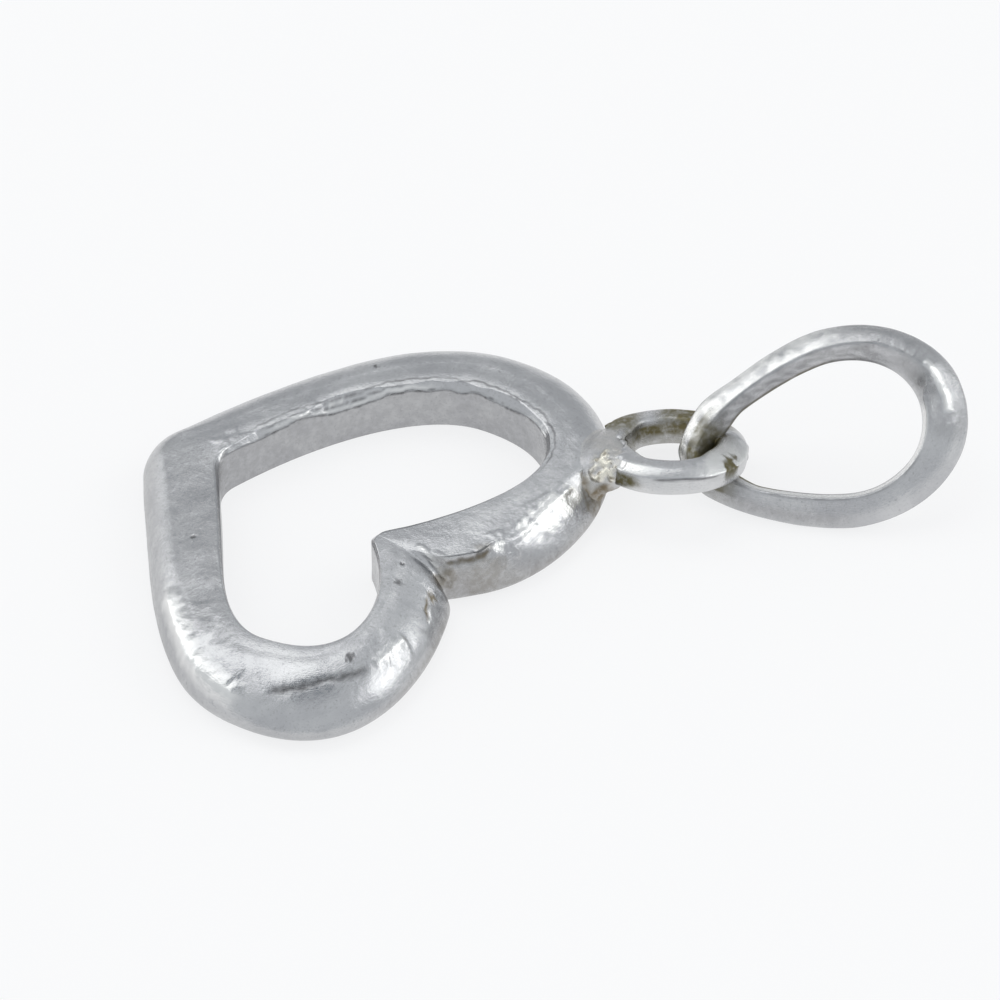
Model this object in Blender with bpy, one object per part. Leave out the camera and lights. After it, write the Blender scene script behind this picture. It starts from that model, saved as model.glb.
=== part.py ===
"""Open-heart pendant: a cast heart band, an eyelet soldered to its left lobe and a loose teardrop bail.

The heart lies on its flat back at z = 0 with its point towards -Y and its front towards +Z.
The origin is on the back, in the middle of the band at the heart's point.
Right and left are as seen from the front, so the right lobe is at +X.
"""
import math
from typing import NamedTuple

import bmesh
import bpy
import numpy as np
from mathutils import Matrix, Vector
from mathutils.geometry import interpolate_bezier

MM = 0.001

# Heart band: overall sizes
RIGHT_HALF_WIDTH = 10.95 * MM
LEFT_HALF_WIDTH = 10.75 * MM
BAND_WIDTH = 3.15 * MM
BAND_AT_POINT = 3.36 * MM
BAND_AT_CLEFT = 3.60 * MM
CLEFT_X = 1.30 * MM
CLEFT_Y = 12.27 * MM
HEART_THICKNESS = 2.15 * MM

# Heart band: section
OUTER_ROUND_WIDTH = 1.95 * MM
WIDEST_HEIGHT = 0.62 * MM
BACK_ROUND_WIDTH = 0.80 * MM
INNER_ROUND = 0.35 * MM
CROWN_DROP = 0.06 * MM
OUTER_ROUND_STEPS = 6
BACK_ROUND_STEPS = 3
INNER_ROUND_STEPS = 3

# Heart band: corners, each rounded over this reach along the outline
OUTER_POINT_REACH = 1.10 * MM
INNER_POINT_REACH = 0.70 * MM
OUTER_CLEFT_REACH = 0.25 * MM
INNER_CLEFT_REACH = 0.60 * MM
LOBE_STEPS = 22
FLANK_STEPS = 20

# Eyelet: an oval ring of wire with rounded corners, its foot filed to fit the lobe
EYELET_LENGTH = 5.92 * MM
EYELET_BREADTH = 5.58 * MM
EYELET_WIDTH = 1.00 * MM
EYELET_DEPTH = 1.20 * MM
EYELET_CORNER = 0.35 * MM
EYELET_HEIGHT = 1.75 * MM
EYELET_ANGLE = math.radians(117.1)
EYELET_TILT = math.radians(17.9)
EYELET_SEAT = 0.603
EYELET_SINK = 0.68 * MM
OVAL_PULL = 0.54
EYELET_RESOLUTION = 11
CORNER_STEPS = 3

# Solder round the eyelet's foot
SOLDER_LENGTH = 3.0 * MM
SOLDER_DEPTH = 2.1 * MM
SOLDER_HEIGHT = 1.6 * MM
SOLDER_OUT = 0.42 * MM
SOLDER_ASIDE = 0.40 * MM
SOLDER_DROP = 0.15 * MM
SOLDER_GAP = 0.06 * MM
UNIT_BALL_RADIUS = 0.5

# Bail: a teardrop loop of tapered round wire
BAIL_LENGTH = 11.31 * MM
BAIL_BREADTH = 7.81 * MM
BAIL_WIDEST_AT = 6.06 * MM
BAIL_TIP_WIRE = 1.02 * MM
BAIL_SIDE_WIRE = 1.37 * MM
BAIL_END_WIRE = 1.80 * MM
BAIL_TIP_PULL = 1.35 * MM
BAIL_SIDE_PULL = 1.81 * MM
BAIL_SHOULDER_PULL = 2.22 * MM
BAIL_END_PULL = 1.79 * MM
BAIL_RESOLUTION = 14
BAIL_SIDES_LEVEL = 4
BAIL_BEVEL = 1.0 * MM
BAIL_REACH = 0.75 * MM
BAIL_TIP_ASIDE = 0.26 * MM
BAIL_YAW = math.radians(2.9)
LINK_GAP = 0.06 * MM

SILVER = (0.60, 0.61, 0.62, 1.0)
SOLDER_GREY = (0.55, 0.52, 0.45, 1.0)


class Half(NamedTuple):
    """One half of a heart outline, from the cleft over its lobe to the point.

    Angles are measured from the heart's axis, and pulls are the lengths of the curve's handles.
    """
    half_width: float
    widest_y: float
    cleft_angle: float
    cleft_pull: float
    shoulder_pull: float
    flank_pull: float
    point_angle: float
    point_pull: float


OUTER_RIGHT = Half(
    half_width=RIGHT_HALF_WIDTH,
    widest_y=8.58 * MM,
    cleft_angle=math.radians(53.0),
    cleft_pull=1.47 * MM,
    shoulder_pull=6.10 * MM,
    flank_pull=3.55 * MM,
    point_angle=math.radians(60.6),
    point_pull=10.48 * MM,
)
OUTER_LEFT = Half(
    half_width=LEFT_HALF_WIDTH,
    widest_y=9.34 * MM,
    cleft_angle=math.radians(18.0),
    cleft_pull=4.50 * MM,
    shoulder_pull=8.03 * MM,
    flank_pull=4.79 * MM,
    point_angle=math.radians(61.2),
    point_pull=5.46 * MM,
)
INNER_RIGHT = Half(
    half_width=RIGHT_HALF_WIDTH - BAND_WIDTH,
    widest_y=7.60 * MM,
    cleft_angle=math.radians(41.5),
    cleft_pull=3.45 * MM,
    shoulder_pull=3.94 * MM,
    flank_pull=2.20 * MM,
    point_angle=math.radians(58.4),
    point_pull=4.89 * MM,
)
INNER_LEFT = Half(
    half_width=LEFT_HALF_WIDTH - BAND_WIDTH,
    widest_y=9.22 * MM,
    cleft_angle=math.radians(40.5),
    cleft_pull=8.38 * MM,
    shoulder_pull=4.24 * MM,
    flank_pull=2.51 * MM,
    point_angle=math.radians(65.0),
    point_pull=4.78 * MM,
)

FINE_STEPS = 64
SOLVE_STEPS = 12
SETTLE_ROUNDS = 8
LEAN_GUESS = math.radians(38.0)
LEAN_RANGE = (math.radians(12.0), math.radians(69.0))
PITCH_GUESS = math.radians(13.0)
PITCH_RANGE = (math.radians(-12.0), math.radians(46.0))
SHARP_EDGE = math.radians(50.0)
SOLDER_SEGMENTS = 20
SOLDER_RINGS = 12


def clear_scene():
    for obj in list(bpy.data.objects):
        bpy.data.objects.remove(obj, do_unlink=True)


def make_collection(name):
    collection = bpy.data.collections.new(name)
    bpy.context.scene.collection.children.link(collection)
    return collection


def metal(name, colour, roughness):
    material = bpy.data.materials.new(name)
    material.use_nodes = True
    shader = material.node_tree.nodes["Principled BSDF"]
    shader.inputs["Base Color"].default_value = colour
    shader.inputs["Metallic"].default_value = 1.0
    shader.inputs["Roughness"].default_value = roughness
    return material


def mesh_object(name, mesh, collection, material=None):
    obj = bpy.data.objects.new(name, mesh)
    collection.objects.link(obj)
    if material:
        mesh.materials.append(material)
    return obj


def solve(test, low, high):
    """The smallest value between low and high, to a thousandth of the range, at which test holds."""
    for _ in range(SOLVE_STEPS):
        middle = (low + high) / 2
        if test(middle):
            high = middle
        else:
            low = middle
    return high


def evenly_spaced(points, steps):
    """Points at equal steps along a run, without its last point."""
    lengths = [0.0]
    for before, after in zip(points, points[1:]):
        lengths.append(lengths[-1] + (after - before).length)
    spaced = []
    index = 0
    for step in range(steps):
        target = lengths[-1] * step / steps
        while lengths[index + 1] < target:
            index += 1
        share = (target - lengths[index]) / (lengths[index + 1] - lengths[index])
        spaced.append(points[index].lerp(points[index + 1], share))
    return spaced


def half_controls(half, side, cleft, point):
    """The control points of a half's lobe curve and flank curve; side is 1 at the right, -1 at the left."""
    widest = Vector((side * half.half_width, half.widest_y, 0.0))
    leaving = Vector((side * math.sin(half.cleft_angle), math.cos(half.cleft_angle), 0.0))
    arriving = Vector((side * math.sin(half.point_angle), math.cos(half.point_angle), 0.0))
    along_axis = Vector((0.0, 1.0, 0.0))
    lobe = (
        cleft,
        cleft + leaving * half.cleft_pull,
        widest + along_axis * half.shoulder_pull,
        widest,
    )
    flank = (
        widest,
        widest - along_axis * half.flank_pull,
        point + arriving * half.point_pull,
        point,
    )
    return lobe, flank


def half_run(half, side, cleft, point):
    lobe, flank = half_controls(half, side, cleft, point)
    run = evenly_spaced(interpolate_bezier(*lobe, FINE_STEPS), LOBE_STEPS)
    run += evenly_spaced(interpolate_bezier(*flank, FINE_STEPS), FLANK_STEPS)
    return run + [point]


def round_corner(outline, corner, reach):
    """Replace the outline within reach of a corner by a parabolic arc that is tangent to both sides."""
    count = len(outline)
    ends = []
    for direction in (-1, 1):
        index = corner
        while (outline[index % count] - outline[corner]).length < reach:
            index += direction
        ends.append(index)
    first, last = ends
    start, apex, end = outline[first % count], outline[corner], outline[last % count]
    rounded = list(outline)
    for index in range(first + 1, last):
        share = (index - first) / (last - first)
        arc = start * (1 - share) ** 2 + apex * 2 * share * (1 - share) + end * share ** 2
        rounded[index % count] = arc
    return rounded


def heart_outline(right, left, cleft, point, cleft_reach, point_reach):
    """Closed outline: down the right half from the cleft to the point, then up the left half."""
    right_run = half_run(right, 1, cleft, point)
    left_run = half_run(left, -1, cleft, point)
    outline = right_run + left_run[-2:0:-1]
    outline = round_corner(outline, len(right_run) - 1, point_reach)
    return round_corner(outline, 0, cleft_reach)


def outer_cleft():
    return Vector((CLEFT_X, CLEFT_Y, 0.0))


def outer_point():
    return Vector((0.0, -BAND_AT_POINT / 2, 0.0))


def inner_cleft():
    return outer_cleft() - Vector((0.0, BAND_AT_CLEFT, 0.0))


def inner_point():
    return outer_point() + Vector((0.0, BAND_AT_POINT, 0.0))


def heart_outlines():
    outer = heart_outline(
        OUTER_RIGHT, OUTER_LEFT, outer_cleft(), outer_point(), OUTER_CLEFT_REACH, OUTER_POINT_REACH,
    )
    inner = heart_outline(
        INNER_RIGHT, INNER_LEFT, inner_cleft(), inner_point(), INNER_CLEFT_REACH, INNER_POINT_REACH,
    )
    return outer, inner


def band_section():
    """The band's section as (edge, distance in from that edge, height), round from the inner foot."""
    edge_height = HEART_THICKNESS - CROWN_DROP
    section = [("inner", 0.0, 0.0)]
    for step in range(INNER_ROUND_STEPS + 1):
        turn = math.pi / 2 * step / INNER_ROUND_STEPS
        inset = INNER_ROUND * (1 - math.cos(turn))
        section.append(("inner", inset, edge_height - INNER_ROUND * (1 - math.sin(turn))))
    for step in range(OUTER_ROUND_STEPS + 1):
        turn = math.pi / 2 * step / OUTER_ROUND_STEPS
        height = WIDEST_HEIGHT + (HEART_THICKNESS - WIDEST_HEIGHT) * math.cos(turn)
        section.append(("outer", OUTER_ROUND_WIDTH * (1 - math.sin(turn)), height))
    for step in range(1, BACK_ROUND_STEPS + 1):
        turn = math.pi / 2 * step / BACK_ROUND_STEPS
        height = WIDEST_HEIGHT * (1 - math.sin(turn))
        section.append(("outer", BACK_ROUND_WIDTH * (1 - math.cos(turn)), height))
    return section


def band_mesh(name, grown=0.0):
    """Loft the section round the heart, between the inner and the outer outline."""
    outer, inner = heart_outlines()
    section = band_section()
    work = bmesh.new()
    rings = []
    for outer_spot, inner_spot in zip(outer, inner):
        across = (outer_spot - inner_spot).normalized()
        ring = []
        for edge, inset, height in section:
            if edge == "inner":
                spot = inner_spot + across * (inset - grown)
            else:
                spot = outer_spot - across * (inset - grown)
            lift = grown if height > WIDEST_HEIGHT else 0.0
            sink = grown if height == 0.0 else 0.0
            ring.append(work.verts.new((spot.x, spot.y, height + lift - sink)))
        rings.append(ring)
    for ring, following in zip(rings, rings[1:] + rings[:1]):
        for spot in range(len(section)):
            beyond = (spot + 1) % len(section)
            work.faces.new((ring[spot], following[spot], following[beyond], ring[beyond]))
    bmesh.ops.recalc_face_normals(work, faces=work.faces)
    mesh = bpy.data.meshes.new(name)
    work.to_mesh(mesh)
    work.free()
    return mesh


def make_heart(collection):
    mesh = band_mesh("heart_frame")
    mesh.shade_smooth()
    mesh.set_sharp_from_angle(angle=SHARP_EDGE)
    return mesh_object("heart_frame", mesh, collection, metal("heart_silver", SILVER, 0.30))


def eyelet_direction():
    return Vector((math.cos(EYELET_ANGLE), math.sin(EYELET_ANGLE), 0.0))


def eyelet_matrix():
    """Local X runs out from the lobe and local Y across; the side towards local +Y is tipped down."""
    lobe, _ = half_controls(OUTER_LEFT, -1, outer_cleft(), outer_point())
    seat = interpolate_bezier(*lobe, FINE_STEPS)[round(EYELET_SEAT * (FINE_STEPS - 1))]
    centre = seat + eyelet_direction() * (EYELET_LENGTH / 2 - EYELET_SINK)
    centre.z = EYELET_HEIGHT
    tilt = Matrix.Rotation(-EYELET_TILT, 4, "X")
    return Matrix.Translation(centre) @ Matrix.Rotation(EYELET_ANGLE, 4, "Z") @ tilt


def eyelet_controls():
    """Anchor, backward handle and forward handle of each quarter point of the oval."""
    along = (EYELET_LENGTH - EYELET_WIDTH) / 2
    across = (EYELET_BREADTH - EYELET_WIDTH) / 2
    anchors = [(along, 0.0), (0.0, across), (-along, 0.0), (0.0, -across)]
    pulls = [(0.0, across), (-along, 0.0), (0.0, -across), (along, 0.0)]
    controls = []
    for (x, y), (pull_x, pull_y) in zip(anchors, pulls):
        anchor = Vector((x, y, 0.0))
        handle = Vector((pull_x, pull_y, 0.0)) * OVAL_PULL
        controls.append((anchor, anchor - handle, anchor + handle))
    return controls


def eyelet_section(collection, grown):
    """The eyelet wire's section: a rectangle with rounded corners, run clockwise."""
    curve = bpy.data.curves.new("eyelet_section", "CURVE")
    curve.dimensions = "2D"
    spline = curve.splines.new("POLY")
    spline.use_cyclic_u = True
    spline.points.add(4 * (CORNER_STEPS + 1) - 1)
    for index, point in enumerate(spline.points):
        corner, step = divmod(index, CORNER_STEPS + 1)
        turn = -math.pi / 2 * (corner + step / CORNER_STEPS)
        middle = -math.pi / 2 * corner - math.pi / 4
        x = math.copysign(EYELET_WIDTH / 2 - EYELET_CORNER, math.cos(middle))
        y = math.copysign(EYELET_DEPTH / 2 - EYELET_CORNER, math.sin(middle))
        reach = EYELET_CORNER + grown
        point.co = (x + reach * math.cos(turn), y + reach * math.sin(turn), 0.0, 1.0)
    section = bpy.data.objects.new("eyelet_section", curve)
    collection.objects.link(section)
    return hide_guide(section)


def bail_controls():
    """Anchor, backward handle and forward handle: tip, right arm, far end and left arm of the teardrop."""
    length = BAIL_LENGTH - BAIL_TIP_WIRE / 2 - BAIL_END_WIRE / 2
    side = (BAIL_BREADTH - BAIL_SIDE_WIRE) / 2
    tip = Vector((0.0, 0.0, 0.0))
    end = Vector((length, 0.0, 0.0))
    right = Vector((BAIL_WIDEST_AT, -side, 0.0))
    left = Vector((BAIL_WIDEST_AT, side, 0.0))
    along = Vector((1.0, 0.0, 0.0))
    across = Vector((0.0, 1.0, 0.0))
    return [
        (tip, tip + across * BAIL_TIP_PULL, tip - across * BAIL_TIP_PULL),
        (right, right - along * BAIL_SIDE_PULL, right + along * BAIL_SHOULDER_PULL),
        (end, end - across * BAIL_END_PULL, end + across * BAIL_END_PULL),
        (left, left + along * BAIL_SHOULDER_PULL, left - along * BAIL_SIDE_PULL),
    ]


def bail_radii():
    return [BAIL_TIP_WIRE / 2, BAIL_SIDE_WIRE / 2, BAIL_END_WIRE / 2, BAIL_SIDE_WIRE / 2]


def closed_path(controls):
    """Points along a closed curve, without repeating its ends."""
    spots = []
    for index, (anchor, _, leaving) in enumerate(controls):
        following, arriving, _ = controls[(index + 1) % len(controls)]
        spots += interpolate_bezier(anchor, leaving, arriving, following, FINE_STEPS)[:-1]
    return spots


def bail_path(matrix):
    """Points along the bail's centre line in the world, and the wire's radius at each."""
    radii = bail_radii()
    sizes = []
    for size, following in zip(radii, radii[1:] + radii[:1]):
        sizes += [size + (following - size) * step / (FINE_STEPS - 1) for step in range(FINE_STEPS - 1)]
    spots = [matrix @ spot for spot in closed_path(bail_controls())]
    return np.array(spots), np.array(sizes)


def bail_matrix(eyelet, lean, pitch, drop):
    """Place the bail's tip in the eyelet; local X is its long axis, and lean turns it about that axis."""
    offset = Vector((BAIL_REACH, -BAIL_TIP_ASIDE, -drop))
    tip = eyelet.translation + Matrix.Rotation(EYELET_ANGLE, 3, "Z") @ offset
    yaw = Matrix.Rotation(EYELET_ANGLE + BAIL_YAW, 4, "Z")
    raised = Matrix.Rotation(-pitch, 4, "Y")
    leaned = Matrix.Rotation(lean, 4, "X")
    return Matrix.Translation(tip) @ yaw @ raised @ leaned


def bail_rest():
    """The place in which the loose bail lies on the ground, linked through the eyelet.

    One arm touches the ground, and the wire passes under the eyelet's right side and over its left
    side with the link's gap at both.
    """
    eyelet = eyelet_matrix()
    ring = np.array(closed_path(eyelet_controls()))[:, :2]
    left_side = ring[ring[:, 1] > 0]
    right_side = ring[ring[:, 1] < 0]

    def height(lean, pitch, drop):
        spots, sizes = bail_path(bail_matrix(eyelet, lean, pitch, drop))
        return (spots[:, 2] - sizes).min()

    def gap(lean, pitch, drop, side):
        """Distance from the bail's wire to the eyelet's section, measured in the eyelet's own frame."""
        spots, sizes = bail_path(eyelet.inverted() @ bail_matrix(eyelet, lean, pitch, drop))
        across = np.linalg.norm(spots[:, None, :2] - side[None], axis=2).min(axis=1)
        beyond_side = np.maximum(across - (EYELET_WIDTH / 2 - EYELET_CORNER), 0.0)
        beyond_face = np.maximum(abs(spots[:, 2]) - (EYELET_DEPTH / 2 - EYELET_CORNER), 0.0)
        return (np.hypot(beyond_side, beyond_face) - sizes).min() - EYELET_CORNER

    lean, pitch, drop = LEAN_GUESS, PITCH_GUESS, 0.0
    for _ in range(SETTLE_ROUNDS):
        drop = solve(lambda value: gap(lean, pitch, value, right_side) >= LINK_GAP, 0.0, EYELET_DEPTH)
        lean = solve(lambda value: gap(value, pitch, drop, left_side) >= LINK_GAP, *LEAN_RANGE)
        pitch = solve(lambda value: height(lean, value, drop) >= 0.0, *PITCH_RANGE)
    return bail_matrix(eyelet, lean, pitch, drop)


def closed_curve(name, controls, resolution, collection):
    curve = bpy.data.curves.new(name, "CURVE")
    curve.dimensions = "3D"
    curve.resolution_u = resolution
    spline = curve.splines.new("BEZIER")
    spline.bezier_points.add(len(controls) - 1)
    spline.use_cyclic_u = True
    for point, (anchor, arriving, leaving) in zip(spline.bezier_points, controls):
        point.co = anchor
        point.handle_left_type = "FREE"
        point.handle_right_type = "FREE"
        point.handle_left = arriving
        point.handle_right = leaving
    obj = bpy.data.objects.new(name, curve)
    collection.objects.link(obj)
    return obj


def eyelet_solid(name, collection, cutters, grown=0.0):
    """The eyelet's section swept round its oval, as a mesh; grown thickens the wire all round."""
    guide = closed_curve("eyelet_guide", eyelet_controls(), EYELET_RESOLUTION, cutters)
    guide.data.bevel_mode = "OBJECT"
    guide.data.bevel_object = eyelet_section(cutters, grown)
    guide.matrix_world = eyelet_matrix()
    bpy.context.view_layer.update()
    depsgraph = bpy.context.evaluated_depsgraph_get()
    mesh = bpy.data.meshes.new_from_object(guide.evaluated_get(depsgraph))
    mesh.name = name
    mesh.shade_smooth()
    mesh.set_sharp_from_angle(angle=SHARP_EDGE)
    solid = mesh_object(name, mesh, collection)
    solid.matrix_world = guide.matrix_world
    bpy.data.objects.remove(guide, do_unlink=True)
    return solid


def cut(obj, cutter):
    modifier = obj.modifiers.new(cutter.name, "BOOLEAN")
    modifier.operation = "DIFFERENCE"
    modifier.solver = "EXACT"
    modifier.object = cutter


def hide_guide(obj):
    obj.hide_render = True
    obj.display_type = "WIRE"
    return obj


def make_heart_cutter(cutters):
    return hide_guide(mesh_object("heart_cutter", band_mesh("heart_cutter", SOLDER_GAP), cutters))


def make_eyelet(collection, cutters, heart_cutter):
    eyelet = eyelet_solid("eyelet_ring", collection, cutters)
    eyelet.data.materials.append(metal("eyelet_silver", SILVER, 0.32))
    cut(eyelet, heart_cutter)
    return eyelet


def make_bail(collection):
    """A cyclic curve of even bevel depth, whose points carry the wire's radius."""
    bail = closed_curve("bail_loop", bail_controls(), BAIL_RESOLUTION, collection)
    bail.data.bevel_depth = BAIL_BEVEL
    bail.data.bevel_resolution = BAIL_SIDES_LEVEL
    for point, radius in zip(bail.data.splines[0].bezier_points, bail_radii()):
        point.radius = radius / BAIL_BEVEL
    bail.data.materials.append(metal("bail_silver", SILVER, 0.28))
    bail.matrix_world = bail_rest()
    return bail


def make_solder(collection, cutters, heart_cutter):
    """A lump of solder between the lobe and the eyelet's foot, cut back from both."""
    work = bmesh.new()
    bmesh.ops.create_uvsphere(
        work, u_segments=SOLDER_SEGMENTS, v_segments=SOLDER_RINGS, radius=UNIT_BALL_RADIUS
    )
    size = Matrix.Diagonal((SOLDER_DEPTH, SOLDER_LENGTH, SOLDER_HEIGHT, 1.0))
    foot = eyelet_matrix() @ Vector((-EYELET_LENGTH / 2, 0.0, 0.0))
    across = Matrix.Rotation(EYELET_ANGLE, 4, "Z")
    offset = Vector((SOLDER_OUT, -SOLDER_ASIDE, -SOLDER_DROP))
    place = Matrix.Translation(foot) @ across @ Matrix.Translation(offset)
    work.transform(place @ size)
    mesh = bpy.data.meshes.new("solder_joint")
    work.to_mesh(mesh)
    work.free()
    mesh.shade_smooth()
    mesh.set_sharp_from_angle(angle=SHARP_EDGE)
    solder = mesh_object("solder_joint", mesh, collection, metal("solder", SOLDER_GREY, 0.50))
    cut(solder, heart_cutter)
    cut(solder, hide_guide(eyelet_solid("eyelet_cutter", cutters, cutters, SOLDER_GAP)))
    return solder


def main():
    clear_scene()
    pendant = make_collection("open_heart_pendant")
    cutters = make_collection("cutters")
    heart_cutter = make_heart_cutter(cutters)
    make_heart(pendant)
    make_eyelet(pendant, cutters, heart_cutter)
    make_solder(pendant, cutters, heart_cutter)
    make_bail(pendant)


main()
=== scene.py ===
from math import cos, pi, radians, sin, tan

import bpy
import numpy as np
from numpy.linalg import norm
from mathutils import Matrix, Vector, noise


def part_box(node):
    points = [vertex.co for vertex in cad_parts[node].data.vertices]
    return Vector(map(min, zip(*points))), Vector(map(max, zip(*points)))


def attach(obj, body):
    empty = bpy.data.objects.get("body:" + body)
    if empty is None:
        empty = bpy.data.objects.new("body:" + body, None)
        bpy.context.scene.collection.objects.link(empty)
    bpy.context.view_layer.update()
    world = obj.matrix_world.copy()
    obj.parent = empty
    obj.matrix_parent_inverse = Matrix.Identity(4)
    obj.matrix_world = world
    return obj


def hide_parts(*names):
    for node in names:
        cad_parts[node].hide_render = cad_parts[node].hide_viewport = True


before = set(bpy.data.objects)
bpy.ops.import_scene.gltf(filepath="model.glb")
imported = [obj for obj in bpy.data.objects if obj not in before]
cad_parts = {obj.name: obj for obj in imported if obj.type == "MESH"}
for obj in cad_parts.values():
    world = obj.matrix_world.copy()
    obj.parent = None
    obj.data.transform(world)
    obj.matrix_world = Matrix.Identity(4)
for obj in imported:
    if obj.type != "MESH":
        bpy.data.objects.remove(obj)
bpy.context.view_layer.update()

# Lengths are in millimetres and in the part's frame, unless a comment says otherwise
MM = 0.001

# Camera: place and target in metres
CAMERA_AT = (0.12563, 0.07307, 0.13893)
CAMERA_TARGET = (-0.00441, 0.01152, 0.0)
CAMERA_LENS = 187.2

# Floor: half size and depth in metres, its colour, and its pale glow and that glow's share
FLOOR_HALF_SIZE = 1.5
FLOOR_DROP = 0.02 * MM
FLOOR_COLOUR = (0.955, 0.945, 0.93, 1.0)
FLOOR_GLOW_COLOUR = (0.985, 0.99, 1.0, 1.0)
FLOOR_GLOW = 0.79

# Sky panels: azimuth and angle from straight up, half width and half height (degrees), softness of
# the edge, and level. The camera stands at azimuth 25.3; the sky is dimmer opposite it.
PANELS = (
    (240.0, 21.0, 23.0, 17.0, 0.12, 0.88),
    (268.0, 64.0, 11.0, 26.0, 0.2, 1.05),
    (121.0, 55.0, 15.0, 13.0, 0.12, 1.55),
    (51.0, 1.0, 18.0, 5.0, 0.25, -0.85),
)
PANEL_TINT = (1.0, 0.992, 0.975)
SKY_LEVEL = 0.73
SKY_TINT = (0.94, 0.972, 1.0)
DIM_AZIMUTH = 205.3
DIM_SHARE = 0.8

# Silver: colours, and the values at each point of a mesh that change its look
LIGHT_SILVER = (0.64, 0.645, 0.655, 1.0)
DARK_SILVER = (0.54, 0.545, 0.56, 1.0)
WARM_SILVER = (0.62, 0.61, 0.59, 1.0)
# Colour of the painted highlights
PAINTED_HIGHLIGHT_SILVER = (0.86, 0.86, 0.85, 1.0)
CREAM = (0.86, 0.83, 0.73, 1.0)
SPECK_COLOUR = (0.3, 0.3, 0.31, 1.0)
SHADE_COLOUR = (0.17, 0.17, 0.175, 1.0)
# Tarnish colours; those for the heart and the wires also paint shade
HEART_TARNISH_AND_SHADE = (0.2, 0.17, 0.12, 1.0)
WIRE_TARNISH_AND_SHADE = (0.17, 0.15, 0.08, 1.0)
SOLDER_TARNISH = (0.24, 0.2, 0.14, 1.0)
# Kinds of mark at each point: tarnish with painted shade, painted highlights (cream on the solder),
# painted shade, and marring
WEAR_AND_PAINTED_LIGHT = ("tarnish_and_shade", "painted_highlight_and_cream", "shade", "marred")

# Heart: overall sizes, as in the solids
THICKNESS = 2.15
WIDEST_HEIGHT = 0.62
BACK_ROUND = 0.8
OUTER_CLEFT = np.array([1.3, 12.27])
OUTER_POINT = np.array([0.0, -1.68])
INNER_CLEFT = OUTER_CLEFT - [0.0, 3.6]
INNER_POINT = OUTER_POINT + [0.0, 3.36]
# The outer cleft is moved aside, less and less within the reach
CLEFT_SHIFT = (0.38, -0.22)
CLEFT_SHIFT_REACH = 0.7
# How far the rounding of the cleft and of the point reaches
OUTER_CORNERS = (0.25, 1.1)
INNER_CORNERS = (0.6, 0.7)
LOBE_STEPS = 260
FLANK_STEPS = 215

# Half outlines: half width, height of the widest spot, angle and pull at the cleft, pulls at the
# shoulder and flank, angle and pull at the point
OUTER_RIGHT = (10.95, 8.58, 53.0, 1.47, 6.1, 3.55, 60.6, 10.48)
OUTER_LEFT = (10.75, 9.34, 18.0, 4.5, 8.03, 4.79, 61.2, 5.46)
INNER_RIGHT = (7.8, 7.6, 41.5, 3.45, 3.94, 2.2, 58.4, 4.89)
INNER_LEFT = (7.6, 9.22, 40.5, 8.38, 4.24, 2.51, 65.0, 4.78)

# Spots in a section: up the inner wall to the chamfer's foot, over the chamfer, across the top,
# round the outside, and round and across the back
WALL_SPOTS = 15
CHAMFER_SPOTS = 6
TOP_SPOTS = 22
ROUND_SPOTS = 34
BACK_SPOTS = 9
# Width and height of the bevel at the inner foot, how far the top lies under the solid's, the
# chamfer's width over its height, and the largest share of the width for the outer round
FOOT_BEVEL = (0.04, 0.05)
TOP_SINK = 0.02
CHAMFER_LEAN = 0.85
WIDEST_ROUND = 0.82

# Radius of the circle on which noise along the closed outline is drawn
NOISE_CIRCLE = 9.0

# Section round the band: place, width of the outer round, its squareness, height of the inner
# chamfer, how far the top falls outwards, and how uneven the chamfer is. Place is 0 at the cleft
# and 0.5 at the point, with the right half first.
SECTION_KEYS = (
    (0.0, 1.9, 1.7, 0.24, 0.03, 0.3),
    (0.07, 2.3, 1.65, 0.15, 0.02, 0.1),
    (0.15, 2.6, 1.6, 0.14, 0.02, 0.1),
    (0.25, 2.5, 1.6, 0.14, 0.02, 0.1),
    (0.32, 1.8, 1.6, 0.14, 0.02, 0.1),
    (0.4, 1.1, 1.55, 0.16, 0.03, 0.3),
    (0.49, 0.95, 1.45, 0.2, 0.04, 0.4),
    (0.56, 1.6, 2.0, 0.34, 0.06, 0.8),
    (0.7, 1.8, 2.1, 0.38, 0.07, 1.0),
    (0.8, 1.85, 2.0, 0.26, 0.05, 0.5),
    (0.845, 1.85, 2.0, 0.22, 0.04, 0.3),
    (0.885, 1.75, 1.4, 0.18, 0.03, 0.3),
    (0.92, 1.7, 1.3, 0.16, 0.03, 0.2),
    (0.95, 1.2, 1.3, 0.18, 0.03, 0.2),
    (0.975, 0.75, 1.3, 0.18, 0.03, 0.2),
    (0.99, 0.75, 1.4, 0.2, 0.03, 0.2),
)

# Hollows in the heart: centre, reach and depth
HEART_DENTS = (
    ((9.36, 6.14, 2.01), 1.2, 0.03),
    ((10.0, 7.9, 1.9), 0.8, 0.02),
    ((6.6, 12.1, 1.95), 0.9, 0.03),
    ((-2.79, 14.12, 2.07), 1.0, 0.03),
    ((-4.41, 14.62, 1.95), 0.9, 0.03),
    ((-1.36, 13.9, 1.97), 0.7, 0.03),
    ((7.37, 11.02, 2.1), 0.24, 0.01),
    ((4.3, 2.88, 2.12), 0.12, 0.04),
    ((2.2, 10.61, 2.1), 0.11, 0.04),
)
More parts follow.
